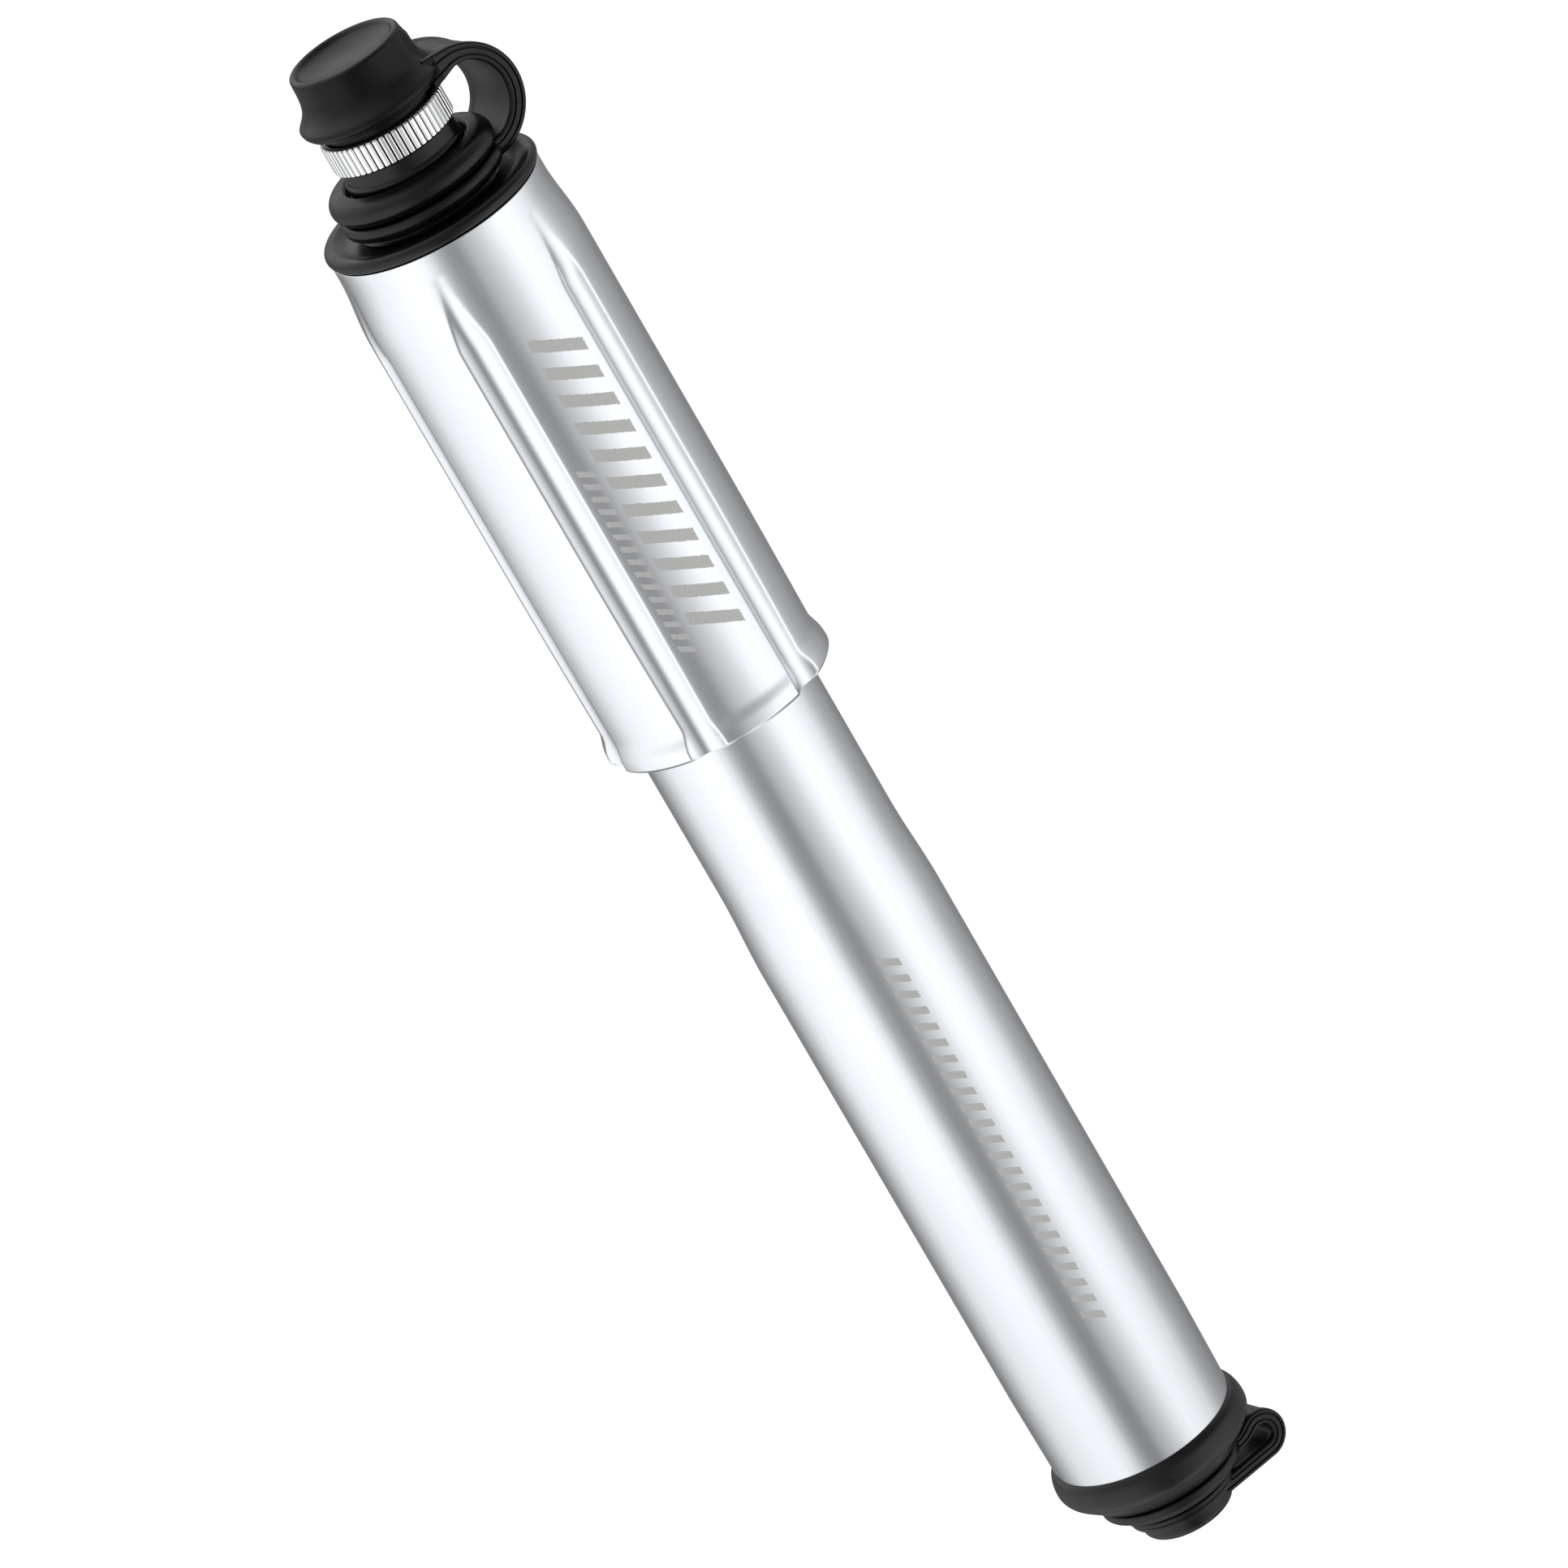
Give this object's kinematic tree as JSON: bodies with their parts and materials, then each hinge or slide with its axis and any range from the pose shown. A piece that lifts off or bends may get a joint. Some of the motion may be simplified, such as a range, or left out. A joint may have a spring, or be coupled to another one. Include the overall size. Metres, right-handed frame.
{
  "type": "bicycle hand pump",
  "caption": "Slim hand pump for bicycle tyres: barrel, fluted handle that slides over it, hose stored in the hollow piston rod, rubber caps on straps at both ends.",
  "frame": {"origin": "centre of the flat end of the bottom plug, on the pump's axis", "axes": "+Z along the pump's axis from the barrel's port end to the handle; +X towards the side the two rubber straps loop out on"},
  "size_m": [0.0308, 0.0298, 0.216],
  "materials": {
    "silver_aluminium": "fine satin, clear anodised",
    "polished_aluminium": "bright, turned",
    "knurled_silver": "bright, straight knurl",
    "black_metal": "black anodised, semi-gloss",
    "black_composite": "fine moulded, semi-matte",
    "cap_rubber": "soft moulded rubber, satin",
    "hose_rubber": "smooth with a faint braid under the skin",
    "seal_rubber": "smooth, lightly greased",
    "brass": "turned",
    "spring_steel": "plain bright"
  },
  "bodies": {
    "barrel": {"barrel_tube": "silver_aluminium", "barrel_end_cap": "black_composite", "end_cap_o_ring": "seal_rubber", "port_insert": "brass", "valve_spring": "spring_steel", "barrel_gland": "black_metal", "gland_wiper": "seal_rubber", "bottom_tether": "cap_rubber"},
    "plug": {"bottom_plug": "cap_rubber"},
    "valve": {"valve_poppet": "brass", "poppet_seal": "seal_rubber"},
    "piston_seal": {"piston_o_ring": "seal_rubber"},
    "handle": {"handle_sleeve": "silver_aluminium", "handle_end_cap": "black_composite", "piston_rod": "polished_aluminium", "rod_plug": "spring_steel", "piston": "black_composite", "piston_screw": "spring_steel", "bumper": "seal_rubber"},
    "hose": {"hose_collar": "cap_rubber", "top_tether": "cap_rubber", "bleed_body": "black_metal", "bleed_spring": "spring_steel", "hose_tube": "hose_rubber", "hose_ferrules": "polished_aluminium", "pump_fitting": "polished_aluminium", "fitting_o_ring": "seal_rubber"},
    "bleed": {"bleed_button": "polished_aluminium"},
    "chuck": {"chuck_core": "black_metal", "chuck_ring": "knurled_silver", "chuck_gasket": "seal_rubber", "valve_pin": "brass", "swivel_clip": "spring_steel", "swivel_o_ring": "seal_rubber"},
    "cap": {"top_cap": "cap_rubber"}
  },
  "joints": [
    {"name": "pump_stroke", "type": "slide", "parent": "barrel", "child": "piston_seal", "axis": [0, 0, 1], "range_m": [0, 0.13]},
    {"name": "handle_spin", "type": "hinge", "parent": "piston_seal", "child": "handle", "pos_m": [0, 0, 0.0305], "axis": [0, 0, 1], "continuous": true},
    {"name": "hose_pull", "type": "slide", "parent": "handle", "child": "hose", "axis": [0, 0, 1], "range_m": [0, 0.12]},
    {"name": "chuck_spin", "type": "hinge", "parent": "hose", "child": "chuck", "pos_m": [0, 0, 0.2], "axis": [0, 0, 1], "continuous": true},
    {"name": "cap_open", "type": "hinge", "parent": "hose", "child": "cap", "pos_m": [0.01392, 0, 0.20791], "axis": [0, 1, 0], "range_deg": [0, 150]},
    {"name": "bleed_press", "type": "slide", "parent": "hose", "child": "bleed", "axis": [0, 1, 0], "range_m": [0, 0.00065], "stiffness_N_per_m": 20, "springref_m": -0.004},
    {"name": "plug_open", "type": "hinge", "parent": "barrel", "child": "plug", "pos_m": [0.0138, 0, 0.00215], "axis": [0, -1, 0], "range_deg": [0, 140]},
    {"name": "valve_lift", "type": "slide", "parent": "barrel", "child": "valve", "axis": [0, 0, -1], "range_m": [0, 0.001], "stiffness_N_per_m": 80, "springref_m": -0.003, "deforming": ["valve_spring"]}
  ]
}
